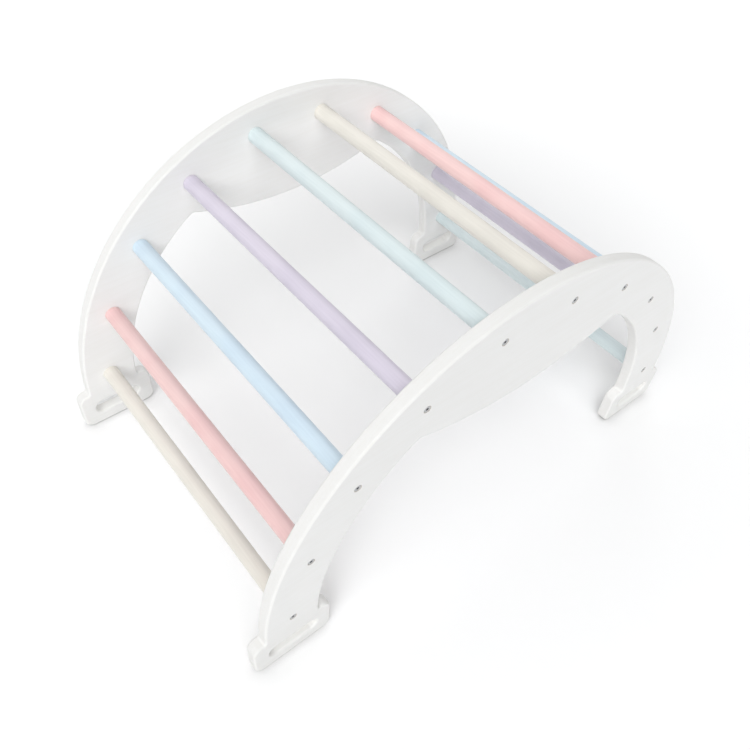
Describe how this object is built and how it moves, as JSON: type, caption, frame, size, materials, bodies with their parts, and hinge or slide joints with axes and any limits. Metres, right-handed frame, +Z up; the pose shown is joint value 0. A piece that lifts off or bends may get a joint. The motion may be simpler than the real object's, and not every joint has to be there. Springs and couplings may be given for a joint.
{
  "type": "climbing arch",
  "caption": "Free-standing indoor climbing arch for a child: two half-ring side panels on slotted foot bars, joined by round pastel rungs to climb over or crawl under.",
  "frame": {"origin": "on the floor, midway between the two panels and midway between the feet, at the centre of the underside of the overall box", "axes": "+X along the arch from foot to foot, +Y along the rungs from the front panel to the back panel, +Z up"},
  "size_m": [0.948, 0.6, 0.53],
  "materials": {
    "panel_white": "satin white paint on a flat board with rounded edges",
    "rung_cream": "satin cream paint on a round dowel",
    "rung_pink": "satin pink paint on a round dowel",
    "rung_blue": "satin blue paint on a round dowel",
    "rung_lavender": "satin lavender paint on a round dowel",
    "rung_aqua": "satin aqua paint on a round dowel",
    "screw_steel": "zinc-plated screw head with a hexagonal socket"
  },
  "bodies": {
    "root": {"front_panel": "panel_white", "back_panel": "panel_white", "rung_01_cream": "rung_cream", "rung_02_pink": "rung_pink", "rung_03_blue": "rung_blue", "rung_04_lavender": "rung_lavender", "rung_05_aqua": "rung_aqua", "rung_06_cream": "rung_cream", "rung_07_pink": "rung_pink", "rung_08_blue": "rung_blue", "rung_09_lavender": "rung_lavender", "rung_10_aqua": "rung_aqua", "front_screw_01": "screw_steel", "front_screw_02": "screw_steel", "front_screw_03": "screw_steel", "front_screw_04": "screw_steel", "front_screw_05": "screw_steel", "front_screw_06": "screw_steel", "front_screw_07": "screw_steel", "front_screw_08": "screw_steel", "front_screw_09": "screw_steel", "front_screw_10": "screw_steel", "back_screw_01": "screw_steel", "back_screw_02": "screw_steel", "back_screw_03": "screw_steel", "back_screw_04": "screw_steel", "back_screw_05": "screw_steel", "back_screw_06": "screw_steel", "back_screw_07": "screw_steel", "back_screw_08": "screw_steel", "back_screw_09": "screw_steel", "back_screw_10": "screw_steel"}
  },
  "joints": []
}
